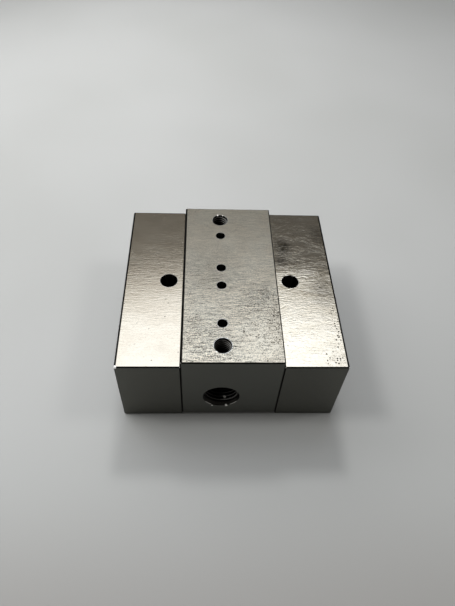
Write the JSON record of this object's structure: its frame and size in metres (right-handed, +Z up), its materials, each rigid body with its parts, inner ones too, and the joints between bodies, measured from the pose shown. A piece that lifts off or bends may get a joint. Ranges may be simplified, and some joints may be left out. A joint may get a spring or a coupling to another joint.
{
  "type": "machined aluminium manifold block",
  "caption": "Rectangular machined aluminium block of a raised, ported centre bar bolted between two side blocks, with a threaded port in its front face.",
  "frame": {"origin": "middle of the footprint, on the plane that the two side blocks stand on", "axes": "+Z up, +X across the block to its right, -Y out of the face that holds the threaded port"},
  "size_m": [0.072, 0.07, 0.0324],
  "materials": {
    "side_block": "ground, near mirror",
    "bar": "satin milled",
    "screws": "plain stainless",
    "dowels": "ground"
  },
  "bodies": {
    "root": {"side_block_left": "side_block", "side_block_right": "side_block", "manifold_bar": "bar", "side_cap_screws": "screws", "locating_dowels": "dowels"}
  },
  "joints": []
}
